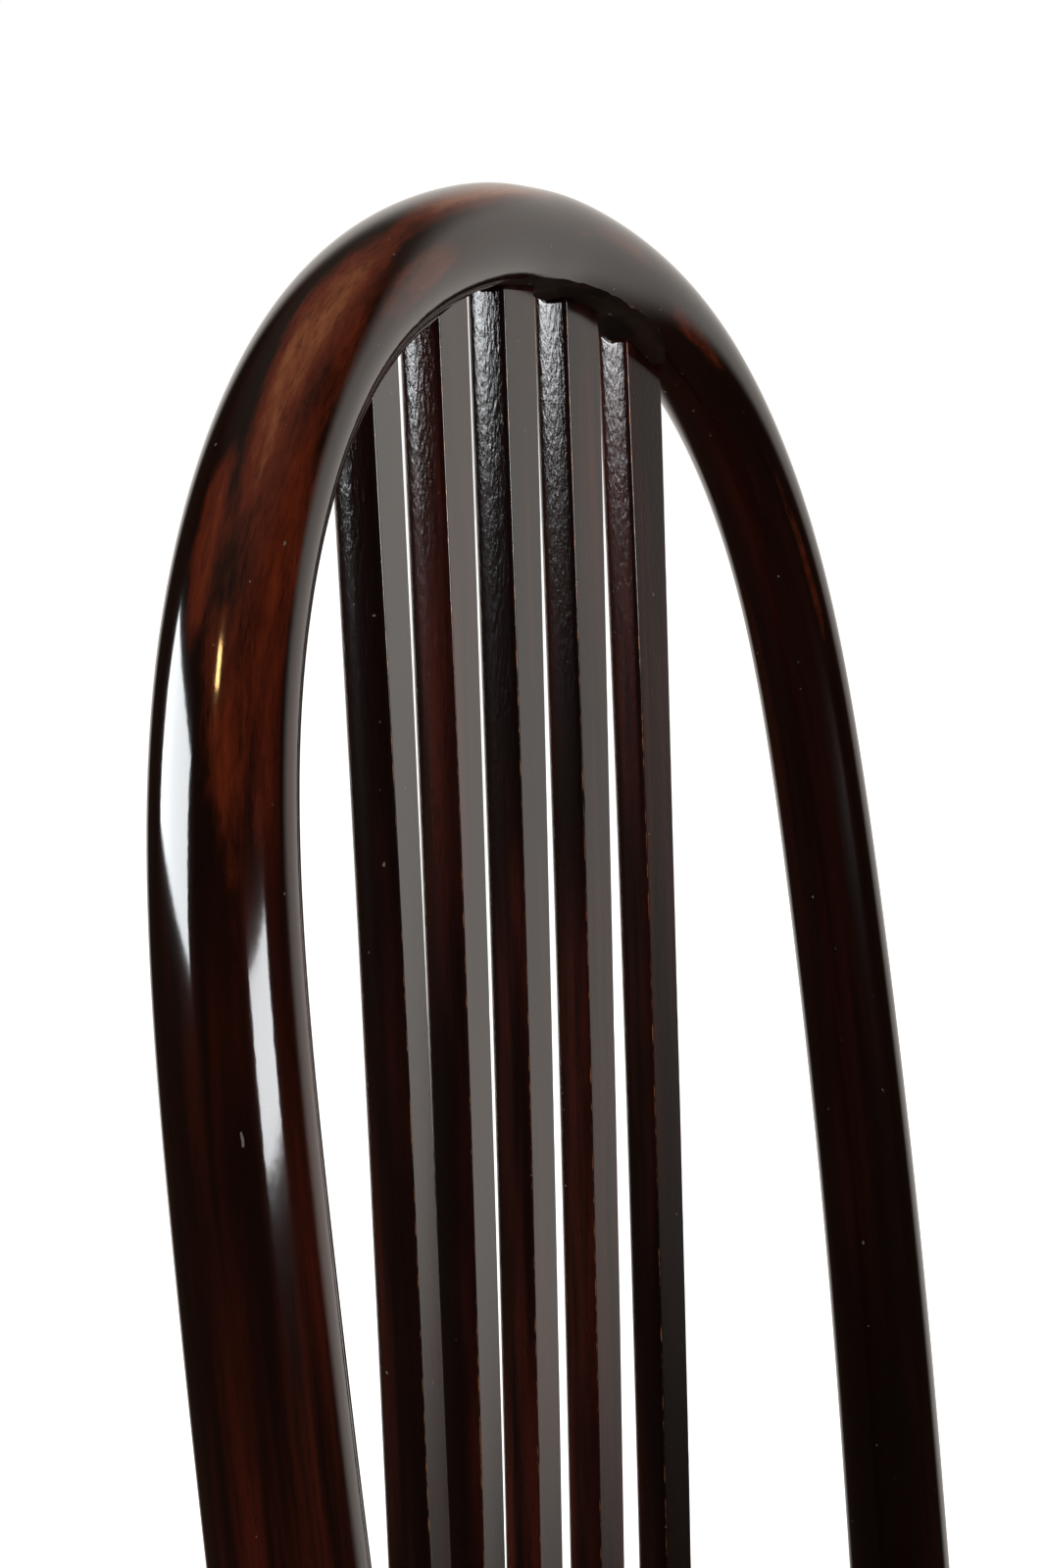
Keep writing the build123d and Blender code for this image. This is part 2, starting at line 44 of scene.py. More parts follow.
# ---------------------------------------------------------------- driving dimensions
SEAT_HEIGHT = 460.0
SEAT_CENTRE = np.array([0.0, -2.85])
CROWN_Y = 183.35
CROWN_HEIGHT = 1026.2
GLIDE_THICKNESS = 3.0

CROWN_RADIUS = 13.8
SWELL_PER_MM = 0.00827
FOOT_RADIUS = 13.0
TAPER_PER_MM = 0.0122
# Half of the bent rod's centreline, crown to foot, as B-spline control points:
# half width, distance forward of the crown, drop below the crown.
ROD_CONTROL = [
    (0.0, 0.0, 0.0),
    (30.5, 0.0, 0.0),
    (108.0, 3.5, 20.0),
    (170.5, 14.5, 91.5),
    (180.5, 30.5, 201.0),
    (185.0, 46.5, 322.5),
    (178.0, 61.0, 434.5),
    (175.0, 74.0, 559.5),
    (177.5, 74.5, 689.0),
    (179.5, 65.5, 824.0),
    (191.0, 40.0, 1030.5),
    (207.0, -14.5, 1211.0),
]
ROD_SPANS = len(ROD_CONTROL) - 2
ROD_COLUMNS = 96
LIP_COLUMN = 10                 # columns from the middle of the recess to its lip
ARCH_REACH = 175.0              # arc length each side of the crown that holds the recess
ARCH_STEP, FASTENING_STEP, PLAIN_STEP = 1.5, 1.1, 5.0

SOFFIT_DEPTH = 3.0              # flat recess on the inside of the arch
SOFFIT_FULL = 66.0              # half width at full depth
SOFFIT_END = 94.0               # half width where the cutter has left the rod
SOFFIT_FADE = 1.5               # beyond it the mesh's columns spread evenly again over this depth
LEAST_LIP = math.radians(2)
ROUGH_FROM_DEPTH = 0.6          # only a cut at least this deep is uneven
CROWN_LEAN = math.radians(8.5)  # the hoop's plane leans back here

SLAT_NAMES = ["far_left", "left", "centre", "right", "far_right"]
SLAT_FACE = 14.7                # across the flat front, low down
SLAT_FLARE, FLARE_REACH = 3.1, 120.0
SLAT_BULGE = 0.65               # the sides swell past the face, half way back
SLAT_DEPTH = 13.4
SLAT_ARRIS, LEAST_ARRIS = 0.4, 0.18
SLAT_RINGS = 300
SLAT_PITCH_TOP, PITCH_PER_MM = 37.8, 0.0018
SLAT_SET_BACK, SLAT_LEAN, SLAT_BOW = 0.6, 0.0367, 0.0000212
ROW_CURVE_TOP, CURVE_PER_MM = 0.00068, 0.00000474
SLAT_TURN = math.radians(0.1208)    # per mm off centre
SLAT_GRAIN_APART = 200.0        # the slats are cut from different places in the plank
TOP_BURIED = 0.35               # the slat is cut off this share of the rod's radius below its centre
JOINT_OVERLAP = 0.5             # closes the joint where the recess is uneven

RING_OUTER, RING_INNER = 200.0, 158.0
RING_BOTTOM = 430.0
RING_ROUND = 7.0
REBATE_RADIUS, REBATE_DEPTH = 166.0, 5.5
PANEL_RADIUS, PANEL_THICKNESS = 165.7, 5.0
DISH_RADIUS, DISH_DEPTH = 140.0, 9.0

LEG_AZIMUTH = math.radians(43.0)
LEG_CIRCLE = 180.0
LEG_FOOT_OUT, LEG_FOOT_FORWARD = 25.0, 38.0
LEG_FOOT_RADIUS, LEG_TOP_RADIUS = 12.0, 17.5
COLLAR_RADIUS, COLLAR_HEIGHT = 20.5, 12.0
COLLAR_STEP, COLLAR_FILLET = 1.0, 3.0
LEG_COLUMNS = 64
LEG_GRAIN_APART = 300.0

STRETCHER_CENTRE = SEAT_CENTRE + np.array([0.0, 10.0])
STRETCHER_RADIUS, STRETCHER_ROD = 186.2, 9.5
STRETCHER_HEIGHT = 240.0

BOLT_HEIGHT, BOLT_HEAD_RADIUS, BOLT_SINK = 443.0, 8.65, 2.5
SCREW_HEAD_RADIUS, SCREW_SINK = 4.65, 1.4
COUNTERBORE_WALL = 0.7          # wood this near a counterbore is drawn up to its edge


# ---------------------------------------------------------------- mesh making
def wander(*position):
    """Smooth noise between -1 and 1, the same in each run."""
    return noise.noise(Vector(position))


def sweep(name, rings, along, closed=False, marks=None, sharp_columns=()):
    """Quad mesh through rings of points, with the wood's own straight coordinates.

    rings is an array of rings x columns x (x, y, z, across, thick): the place in the chair
    and the place in the wood's section.  along is the distance down the wood at each ring,
    with one more entry at the end for a closed sweep.  marks are named values for each point.
    """
    ring_count, columns = rings.shape[:2]
    place = rings[:, :, :3]
    points = place.reshape(-1, 3) * METRES
    spans = ring_count if closed else ring_count - 1
    i, j = np.meshgrid(np.arange(spans), np.arange(columns), indexing="ij")
    corners = [(i, j), (i, j + 1), (i + 1, j + 1), (i + 1, j)]
    flipped = sweep_is_inside_out(place)
    if flipped:
        corners.reverse()
    faces = np.stack([(a % ring_count) * columns + b % columns for a, b in corners], -1).reshape(-1, 4)
    wood = [np.dstack([along[a], rings[a % ring_count, b % columns, 3:]]) for a, b in corners]
    wood = np.stack(wood, 2).reshape(-1, 3)
    face_list = faces.tolist()
    if not closed:
        for ring, forwards in ((0, flipped), (ring_count - 1, not flipped)):
            column = np.arange(columns) if forwards else np.arange(columns)[::-1]
            face_list.append((ring * columns + column).tolist())
            cap = np.column_stack([np.full(columns, along[ring]), rings[ring, column, 3:]])
            wood = np.vstack([wood, cap])
    mesh = bpy.data.meshes.new(name)
    mesh.from_pydata(points.tolist(), [], face_list)
    smooth = np.ones(len(face_list), bool)
    smooth[len(faces):] = False
    mesh.polygons.foreach_set("use_smooth", smooth)
    straight = mesh.attributes.new("straight", "FLOAT_VECTOR", "CORNER")
    straight.data.foreach_set("vector", (wood * METRES).astype(np.float32).ravel())
    for mark, values in (marks or {}).items():
        layer = mesh.attributes.new(mark, "FLOAT", "POINT")
        layer.data.foreach_set("value", np.asarray(values, np.float32).ravel())
    mark_sharp(mesh, columns, sharp_columns)
    piece = bpy.data.objects.new(name, mesh)
    bpy.context.scene.collection.objects.link(piece)
    return piece


def sweep_is_inside_out(place):
    """True if a quad's normal points into the tube."""
    middle = len(place) // 2
    centre = place[middle].mean(0)
    a, b, c = place[middle, 0], place[middle, 1], place[middle + 1, 0]
    return np.dot(np.cross(b - a, c - a), a - centre) < 0


def mark_sharp(mesh, columns, sharp_columns):
    """Edges that run down these columns keep a crisp corner."""
    edges = np.empty(len(mesh.edges) * 2, np.int32)
    mesh.edges.foreach_get("vertices", edges)
    first, second = edges.reshape(-1, 2).T
    sharp = (first % columns == second % columns) & np.isin(first % columns, sharp_columns)
    layer = mesh.attributes.new("sharp_edge", "BOOLEAN", "EDGE")
    layer.data.foreach_set("value", sharp)


def finish_piece(piece, material, slot, *nodes):
    piece.data.materials.append(material)
    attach(piece, "root")
    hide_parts(*nodes)


# ---------------------------------------------------------------- the bent rod
def rod_point(t):
    """Centreline at t spans from the crown; t < 0 is the left side."""
    t = np.atleast_1d(np.asarray(t, float))
    span = np.minimum(np.abs(t).astype(int), ROD_SPANS - 1)
    f = np.abs(t) - span
    weights = [(1 - f) ** 3, 3 * f ** 3 - 6 * f * f + 4, 1 + 3 * f + 3 * f * f - 3 * f ** 3, f ** 3]
    control = np.array(ROD_CONTROL)
    total = np.zeros((len(t), 3))
    for offset, weight in enumerate(weights):
        index = span - 1 + offset
        point = control[np.abs(index)].copy()
        point[:, 0] *= np.where(index < 0, -1, 1)
        total += point * weight[:, None] / 6
    width, forward, drop = total.T
    return np.column_stack([np.copysign(width, t), CROWN_Y - forward, CROWN_HEIGHT - drop])


def rod_radius(height):
    swell = CROWN_RADIUS + SWELL_PER_MM * (CROWN_HEIGHT - height)
    taper = FOOT_RADIUS + TAPER_PER_MM * height
    return (swell + taper - np.sqrt((swell - taper) ** 2 + 1)) / 2


def unit(vectors):
    return vectors / np.linalg.norm(vectors, axis=-1, keepdims=True)


class Rod:
    """The rod at closely spaced stations, with its directions and the depth of the recess."""

    def __init__(self, stations):
        step = 0.001
        self.t = stations
        self.centre = rod_point(stations)
        self.tangent = unit(rod_point(stations + step) - rod_point(stations - step))
        self.radius = rod_radius(self.centre[:, 2])
        front = np.array([0.0, -1.0, 0.0])
        self.front = unit(front - self.tangent * (self.tangent @ front)[:, None])
        self.inward = np.cross(self.tangent, self.front)
        leaning = np.array([0.0, -math.cos(CROWN_LEAN), math.sin(CROWN_LEAN)])
        self.flat_normal = unit(np.cross(self.tangent, leaning))
        run_out = np.clip((np.abs(self.centre[:, 0]) - SOFFIT_FULL) / (SOFFIT_END - SOFFIT_FULL), 0, None)
        self.depth = SOFFIT_DEPTH * (1 - run_out) - run_out
        gaps = np.linalg.norm(np.diff(self.centre, axis=0), axis=1)
        self.along = np.concatenate([[0], np.cumsum(gaps)])
        self.along -= np.interp(0, stations, self.along)


FINE = Rod(np.linspace(-ROD_SPANS, ROD_SPANS, 8001))
ARCH = Rod(np.linspace(-2.2, 2.2, 1801))


def station_at_height(height):
    half = FINE.t > 1
    heights = FINE.centre[half, 2]
    return float(np.interp(-height, -heights, FINE.t[half]))


def rod_stations():
    """Places down the rod: close together at the arch and at the fastenings."""
    foot = np.interp(station_at_height(GLIDE_THICKNESS), FINE.t, FINE.along)
    places, s = [0.0], 0.0
    while s < foot:
        height = np.interp(s, FINE.along, FINE.centre[:, 2])
        at_fastening = abs(height - BOLT_HEIGHT) < 12 or abs(height - STRETCHER_HEIGHT) < 8
        s += ARCH_STEP if s < ARCH_REACH else (FASTENING_STEP if at_fastening else PLAIN_STEP)
        places.append(min(s, foot))
    half = np.array(places)
    return np.interp(np.concatenate([-half[:0:-1], half]), FINE.along, FINE.t)


def hoop_wear(t, turn):
    """How far hands have worn the stain, by place down the rod and angle round it.

    The angle is 0 at the front, 90 on the outside of the hoop and -90 on the inside.  Each
    patch has a place, an angle, its reach along and round the rod, and a strength.
    """
    patches = [
        (-2.15, 62, 0.60, 22, 0.78),
        (-0.75, 61, 1.00, 19, 0.85),
        (-1.70, 14, 0.36, 18, 0.50),
        (-2.60, 46, 0.85, 40, 0.46),
        (-2.70, 92, 0.25, 14, 0.55),
        (0.95, 20, 0.60, 24, 0.30),
        (0.35, 8, 0.25, 8, 0.30),
        (1.70, -20, 0.55, 16, 0.30),
        (2.87, -26, 0.55, 9, 0.32),
        (-3.95, 78, 0.80, 44, 0.12),
    ]
    wear = np.zeros(np.broadcast(t, turn).shape)
    for t0, turn0, reach, spread, strength in patches:
        distance = ((t - t0) / reach) ** 2 + ((turn - turn0) / spread) ** 2
        wear = np.maximum(wear, strength * np.exp(-distance ** 1.3))
    return wear


def hoop_red_and_shade(t, turn):
    """How red the stain shows, most on the left leg and round the arch; the dark kept on the right leg and
    on the inside of the rod is painted shade.
    """
    left = 1 / (1 + np.exp((t + 0.4) / 0.25))
    front = np.exp(-((turn - 50) / 75) ** 4)
    return 0.25 + 0.75 * left * front


def uneven(s):
    """How much a hand-cut recess strays from its depth, this far along the arch."""
    return 0.35 * wander(s * 0.11, 3.0, 0.0) + 0.12 * wander(s * 0.31, 9.0, 0.0)


def scrapes(s, column):
    """Small ridges that the tool left across the recess."""
    return np.array([0.12 * wander(s * 0.35, c * 0.8, 5.0) for c in column])


def hoop_section(radius, depth, s, column):
    """One section of the rod: (towards the recess, forwards) for each column."""
    half = ROD_COLUMNS // 2
    from_middle = np.abs(column)
    inner = from_middle <= LIP_COLUMN
    if depth > 0:
        lip_angle = math.acos(1 - depth / radius)
    else:
        lip_angle = LIP_COLUMN / half * math.pi * min(1, -depth / SOFFIT_FADE)
    lip_angle = max(lip_angle, LEAST_LIP)
    round_part = lip_angle + (math.pi - lip_angle) * (from_middle - LIP_COLUMN) / (half - LIP_COLUMN)
    angle = np.where(inner, lip_angle * column / LIP_COLUMN, np.sign(column) * round_part)
    height, side = radius * np.cos(angle), radius * np.sin(angle)
    if depth > 0:
        side = np.where(inner, radius * math.sin(lip_angle) * column / LIP_COLUMN, side)
        scraped = np.where(from_middle < LIP_COLUMN, scrapes(s, column), 0)
        height = np.where(inner, radius - depth + scraped, height)
    return height, side


def hoop_piece(material, cut_material):
    rod = Rod(rod_stations())
    half = ROD_COLUMNS // 2
    column = np.arange(ROD_COLUMNS) - half
    rings = np.empty((len(rod.t), ROD_COLUMNS, 5))
    for k, (centre, radius, s) in enumerate(zip(rod.centre, rod.radius, rod.along)):
        if rod.depth[k] > ROUGH_FROM_DEPTH:
            rod.depth[k] += uneven(s)
        height, side = hoop_section(radius, rod.depth[k], s, column)
        normal = rod.flat_normal[k]
        forward = np.cross(normal, rod.tangent[k])
        offset = height[:, None] * normal + side[:, None] * forward
        rings[k, :, :3] = centre + offset
        rings[k, :, 3] = offset @ rod.front[k]
        rings[k, :, 4] = -offset @ rod.inward[k]
    turn = np.degrees(np.arctan2(rings[:, :, 4], rings[:, :, 3]))
    t, is_cut = rod.t[:, None], rod.depth > 0
    sink_fastenings(rings)
    lip = np.clip(1 - np.abs(np.abs(column) - LIP_COLUMN) / 1.5, 0, 1)
    # The third mark is the stain's red, with painted shade where it keeps the right leg and the rod's inside
    # dark.
    marks = {"lip": is_cut[:, None] * lip, "wear": hoop_wear(t, turn), "red_and_shade": hoop_red_and_shade(t, turn)}
    piece = sweep("back_hoop_bent_rod", rings, rod.along, marks=marks,
                  sharp_columns=[half - LIP_COLUMN, half + LIP_COLUMN])
    finish_piece(piece, material, "rod_wood", "back_hoop")
    show_cut_wood(piece, is_cut, np.abs(column) <= LIP_COLUMN, cut_material)


def show_cut_wood(piece, is_cut, inner, cut_material):
    """The faces of the recess take the second material; the two end caps keep the first."""
    piece.data.materials.append(cut_material)
    cut_rings = is_cut[:-1] & is_cut[1:]
    cut_columns = inner & np.roll(inner, -1)
    cut = np.outer(cut_rings, cut_columns).ravel()
    piece.data.polygons.foreach_set("material_index", np.append(cut, [False, False]).astype(np.int32))


def sink_fastenings(rings):
    """Flats for the bolt heads, and counterbores for the stretcher's screws."""
    for side in (-1, 1):
        for height, centre, radius, sink in (
            (BOLT_HEIGHT, SEAT_CENTRE, BOLT_HEAD_RADIUS, BOLT_SINK),
            (STRETCHER_HEIGHT, STRETCHER_CENTRE, SCREW_HEAD_RADIUS, SCREW_SINK),
        ):
            leg = rod_point(side * station_at_height(height))[0]
            sink_one(rings, leg, centre, rod_radius(height), radius, sink)


def sink_one(rings, leg, centre, leg_radius, radius, sink):
    """Press the wood inside this circle down to a flat, square to a line from the centre."""
    outward = np.array([leg[0] - centre[0], leg[1] - centre[1], 0.0])
    outward /= np.linalg.norm(outward)
    offset = rings[:, :, :3] - leg
    out = offset @ outward
    aside = offset - out[:, :, None] * outward
    distance = np.linalg.norm(aside, axis=2)
    floor = leg_radius - sink
    pressed = (out > floor) & (distance < radius)
    rings[pressed, :3] -= (out[pressed] - floor)[:, None] * outward
    clear = 0.05
    rim = (out > 0) & (distance >= radius) & (distance < radius + COUNTERBORE_WALL)
    rings[rim, :3] -= aside[rim] * (1 - (radius + clear) / distance[rim])[:, None]


# ---------------------------------------------------------------- slats
def slat_axis(index, height):
    """Centre of the slat's front face, and the slat's turn about the vertical."""
    drop = CROWN_HEIGHT - height
    x = index * (SLAT_PITCH_TOP + PITCH_PER_MM * drop)
    curvature = ROW_CURVE_TOP + CURVE_PER_MM * drop
    y = CROWN_Y + SLAT_SET_BACK - SLAT_LEAN * drop + SLAT_BOW * drop ** 2 - curvature * x * x / 2
    return x, y, -SLAT_TURN * x


def slat_section(height, left_arris, right_arris):
    """Flat front, bulging sides, eased front corners and a half-elliptical back.

    Gives (across, back) pairs and how far each lies on an eased corner.
    """
    drop = CROWN_HEIGHT - height
    face = (SLAT_FACE + SLAT_FLARE * math.exp(-(drop / FLARE_REACH) ** 2)) / 2
    half, middle = face + SLAT_BULGE, SLAT_DEPTH / 2
    bulge = (middle ** 2 + SLAT_BULGE ** 2) / (2 * SLAT_BULGE)
    support = 0.15              # the flats start this far from a corner, to keep it crisp
    points, edge = [], []

    def corner(side, arris, steps):
        for a in steps:
            points.append((side * (face - arris * (1 - math.sin(a))), arris * (1 - math.cos(a))))
            edge.append(math.sin(2 * a))

    def flank(side, depths):
        for back in depths:
            points.append((side * (half - bulge + math.sqrt(bulge ** 2 - (middle - back) ** 2)), back))
            edge.append(0.0)

    for across in np.linspace(-face + left_arris + support, face - right_arris - support, 10):
        points.append((across, 0))
        edge.append(0.0)
    corner(1, right_arris, np.linspace(0, math.pi / 2, 5))
    flank(1, np.linspace(right_arris + support, middle, 8))
    for a in np.linspace(0, math.pi, 21)[1:-1]:
        points.append((half * math.cos(a), middle + (SLAT_DEPTH - middle) * math.sin(a)))
        edge.append(0.0)
    flank(-1, np.linspace(middle, left_arris + support, 8))
    corner(-1, left_arris, np.linspace(math.pi / 2, 0, 5))
    return np.array(points), np.array(edge)


def slat_point(index, section, height):
    """Places of the section's points, each at its own height."""
    x, y, turn = slat_axis(index, height)
    across, back = section.T
    return np.column_stack([
        x + across * np.cos(turn) - back * np.sin(turn),
        y + across * np.sin(turn) + back * np.cos(turn),
        height,
    ])


def slat_tops(index, section):
    """Height at which each line down the slat meets the underside of the arch.

    The front of the slat ends on the flat of the recess; the back follows the round of the
    rod, up to where the slat itself was cut off.
    """
    flat = ARCH.centre + ARCH.flat_normal * (ARCH.radius - ARCH.depth)[:, None]
    up = np.array([0.0, math.sin(CROWN_LEAN), math.cos(CROWN_LEAN)])
    crown = np.array([0.0, CROWN_Y, CROWN_HEIGHT])
    rod_x, rod_y, rod_z = ARCH.centre.T
    middle = slat_axis(index, CROWN_HEIGHT)[0]
    sawn_off = np.interp(middle, rod_x, rod_z) - TOP_BURIED * CROWN_RADIUS
    tops = np.full(len(section), CROWN_HEIGHT - 20.0)
    for _ in range(8):
        points = slat_point(index, section, tops)
        x = points[:, 0]
        wanted = np.interp(x, flat[:, 0], (flat - crown) @ up)
        recess = tops + (wanted - (points - crown) @ up) / up[2]
        centre_y, centre_z = np.interp(x, rod_x, rod_y), np.interp(x, rod_x, rod_z)
        level = np.interp(x, rod_x, ARCH.tangent[:, 0])
        inside = np.sqrt(np.clip(rod_radius(centre_z) ** 2 - (points[:, 1] - centre_y) ** 2, 0, None))
        tops = np.minimum(np.maximum(recess, centre_z - inside / level), sawn_off - JOINT_OVERLAP)
    return tops + JOINT_OVERLAP


def arris_width(index, corner, height):
    """Uneven easing of a front corner, with a few larger chips."""
    ease = 0.36 + 0.16 * wander(height * 0.02, index * 7.0, corner * 5.0)
    ease += 0.10 * wander(height * 0.21, index * 3.0, corner * 9.0)
    chip = wander(height * 0.045, index * 11.0 + 40, corner * 13.0)
    return max(LEAST_ARRIS, ease + 3.0 * max(0.0, chip - 0.55))


def slat_piece(index, name, material):
    plain, edge = slat_section(CROWN_HEIGHT, SLAT_ARRIS, SLAT_ARRIS)
    tops = slat_tops(index, plain)
    rings = np.empty((SLAT_RINGS + 1, len(plain), 5))
    along = np.linspace(SEAT_HEIGHT, tops.max(), SLAT_RINGS + 1)
    for k, level in enumerate(along):
        height = SEAT_HEIGHT + (tops - SEAT_HEIGHT) * k / SLAT_RINGS
        section, _ = slat_section(level, *(arris_width(index, corner, level) for corner in (-1, 1)))
        rings[k, :, :3] = slat_point(index, section, height)
        rings[k, :, 3:] = section + (index * SLAT_GRAIN_APART, 0)
    face_bumps, fade_depth = 0.12, 1.5
    side = np.clip(plain[:, 1] / fade_depth, face_bumps, 1)
    marks = {"edge": np.tile(edge, (SLAT_RINGS + 1, 1)), "side": np.tile(side, (SLAT_RINGS + 1, 1))}
    piece = sweep(f"back_slat_{name}_bar", rings, along, marks=marks)
    finish_piece(piece, material, "slat_wood", f"back_slat_{name}")


# ---------------------------------------------------------------- turned and bent pieces
def arc(centre, radius, start, end, count):
    """Points of an arc in a profile, angles in degrees."""
    angles = np.radians(np.linspace(start, end, count))
    return [(centre[0] + radius * math.cos(a), centre[1] + radius * math.sin(a)) for a in angles]


def stretch(points, spacing):
    """The same closed outline, with more points on its long straights."""
    dense = []
    for a, b in zip(points, points[1:] + points[:1]):
        count = max(1, round(math.dist(a, b) / spacing))
        steps = [k / count for k in range(count)]
        dense += [(a[0] + (b[0] - a[0]) * part, a[1] + (b[1] - a[1]) * part) for part in steps]
    return np.array(dense)


def ring_around(name, profile, centre, segments, grain_radius):
    """Sweep a profile of (radius, height) round a vertical line; the grain runs round it."""
    angles = np.linspace(0, 2 * math.pi, segments, endpoint=False)
    radius, height = profile.T
    rings = np.empty((segments, len(profile), 5))
    rings[:, :, 0] = centre[0] + np.cos(angles)[:, None] * radius
    rings[:, :, 1] = centre[1] + np.sin(angles)[:, None] * radius
    rings[:, :, 2] = height
    rings[:, :, 3] = radius
    rings[:, :, 4] = height
    along = np.linspace(0, 2 * math.pi * grain_radius, segments + 1)
    return sweep(name, rings, along, closed=True)


def seat_ring_piece(material):
    top, r = SEAT_HEIGHT, RING_ROUND
    ease = 0.6
    profile = [(RING_INNER, top - REBATE_DEPTH - ease), (RING_INNER + ease, top - REBATE_DEPTH)]
    profile += [(REBATE_RADIUS, top - REBATE_DEPTH), (REBATE_RADIUS, top - ease)]
    profile += [(REBATE_RADIUS + ease, top)]
    profile += arc((RING_OUTER - r, top - r), r, 90, 0, 9)
    profile += arc((RING_OUTER - r, RING_BOTTOM + r), r, 0, -90, 9)
    profile += arc((RING_INNER + r, RING_BOTTOM + r), r, -90, -180, 9)
    piece = ring_around("seat_ring_bent", stretch(profile, 4.0), SEAT_CENTRE, 240, RING_OUTER)
    finish_piece(piece, material, "seat_ring_wood", "seat_ring")


def stretcher_piece(material):
    profile = arc((STRETCHER_RADIUS, STRETCHER_HEIGHT), STRETCHER_ROD, 0, 360 * 27 / 28, 28)
    piece = ring_around("stretcher_ring_bent", np.array(profile), STRETCHER_CENTRE, 240, STRETCHER_RADIUS)
    finish_piece(piece, material, "stretcher_wood", "stretcher_ring")


def seat_panel_piece(material):
    """Dished plywood panel: rings from the middle out, over the rim and back underneath."""
    high = SEAT_HEIGHT - REBATE_DEPTH + PANEL_THICKNESS
    low = high - PANEL_THICKNESS
    segments, ease = 120, 0.5

    def dish(radius):
        part = min(1.0, radius / DISH_RADIUS)
        return DISH_DEPTH * (1 + math.cos(math.pi * part)) / 2

    radii = [4.0] + [DISH_RADIUS * k / 24 for k in range(1, 25)] + [150, 158, PANEL_RADIUS - ease]
    path = [(r, high - dish(r)) for r in radii] + [(PANEL_RADIUS, high - ease), (PANEL_RADIUS, low + ease)]
    path += [(r, low - dish(r)) for r in radii[::-1]]
    angles = np.linspace(0, 2 * math.pi, segments, endpoint=False)
    rings = np.empty((len(path), segments, 5))
    for k, (radius, height) in enumerate(path):
        rings[k, :, 0] = SEAT_CENTRE[0] + radius * np.cos(angles)
        rings[k, :, 1] = SEAT_CENTRE[1] + radius * np.sin(angles)
        rings[k, :, 2] = height
        rings[k, :, 3] = rings[k, :, 0]
        rings[k, :, 4] = height
    piece = sweep("seat_panel_dished", rings, np.zeros(len(path)))
    lay_grain_front_to_back(piece)
    finish_piece(piece, material, "seat_panel_wood", "seat_panel")


def lay_grain_front_to_back(piece):
    """The veneer's grain runs along Y, whatever the mesh's rings do."""
    mesh = piece.data
    points = np.empty(len(mesh.vertices) * 3, np.float32)
    mesh.vertices.foreach_get("co", points)
    corners = np.empty(len(mesh.loops), np.int32)
    mesh.loops.foreach_get("vertex_index", corners)
    wood = points.reshape(-1, 3)[corners][:, [1, 0, 2]]
    mesh.attributes["straight"].data.foreach_set("vector", wood.ravel())


def shank_radius(part):
    """Radius of the turned leg, from 0 at the seat ring to 1 at the floor."""
    return LEG_FOOT_RADIUS + (LEG_TOP_RADIUS - LEG_FOOT_RADIUS) * math.sin((1 - part) * math.pi / 2)


def leg_profile(length):
    """(distance down the leg, radius) for the bead under the seat ring and the shank."""
    shank_top = COLLAR_HEIGHT + COLLAR_FILLET
    neck = shank_radius(shank_top / length)
    shoulder = neck + COLLAR_STEP
    bead, middle = COLLAR_RADIUS - shoulder, COLLAR_HEIGHT / 2
    profile = [(0.5, shoulder)]
    profile += [(middle - middle * math.cos(a), shoulder + bead * math.sin(a))
                for a in np.linspace(0.08, math.pi - 0.05, 15)]
    profile += [(shank_top, neck)]
    profile += [(z, shank_radius(z / length)) for z in np.linspace(shank_top + 1, length - 0.5, 110)]
    return profile


def front_leg_piece(name, side, material):
    top = np.array([side * LEG_CIRCLE * math.sin(LEG_AZIMUTH),
                    SEAT_CENTRE[1] - LEG_CIRCLE * math.cos(LEG_AZIMUTH), RING_BOTTOM])
    foot = np.array([top[0] + side * LEG_FOOT_OUT, top[1] - LEG_FOOT_FORWARD, 0.0])
    axis = unit(foot - top)
    length = np.linalg.norm(foot - top)
    front = unit(np.array([0.0, -1.0, 0.0]) + axis * axis[1])
    across = np.cross(axis, front)
    profile = leg_profile(length)
    angles = np.linspace(0, 2 * math.pi, LEG_COLUMNS, endpoint=False)
    rings = np.empty((len(profile), LEG_COLUMNS, 5))
    for k, (z, radius) in enumerate(profile):
        offset = radius * (np.cos(angles)[:, None] * front + np.sin(angles)[:, None] * across)
        rings[k, :, :3] = top + axis * z + offset
        rings[k, :, 3] = radius * np.cos(angles) + side * LEG_GRAIN_APART
        rings[k, :, 4] = radius * np.sin(angles)
    into_ring = 0.2
    rings[:, :, 2] = np.clip(rings[:, :, 2], GLIDE_THICKNESS, RING_BOTTOM + into_ring)
    down = 1 - STRETCHER_HEIGHT / RING_BOTTOM
    screw = top + (foot - top) * down
    sink_one(rings, screw, STRETCHER_CENTRE, shank_radius(down), SCREW_HEAD_RADIUS, SCREW_SINK)
    piece = sweep(f"front_leg_{name}_turned", rings, np.array([z for z, _ in profile]))
    finish_piece(piece, material, "leg_wood", f"front_leg_{name}")


# ---------------------------------------------------------------- shader helpers
def node(tree, kind, inputs=None, output=0, **settings):
    """Add a node, set or link its inputs, and give back one output."""
    made = tree.nodes.new("ShaderNode" + kind)
    for key, value in settings.items():
        setattr(made, key, value)
    for socket, value in (inputs or {}).items():
        if isinstance(value, bpy.types.NodeSocket):
            tree.links.new(value, made.inputs[socket])
        else:
            made.inputs[socket].default_value = value
    return made.outputs[output]


def calculate(tree, operation, *values):
    return node(tree, "Math", dict(enumerate(values)), operation=operation)


def blend(tree, factor, first, second):
    """Colour mix."""
    first, second = (v if isinstance(v, bpy.types.NodeSocket) else (*v, 1.0) for v in (first, second))
    return node(tree, "Mix", {0: factor, 6: first, 7: second}, output=2, data_type="RGBA")


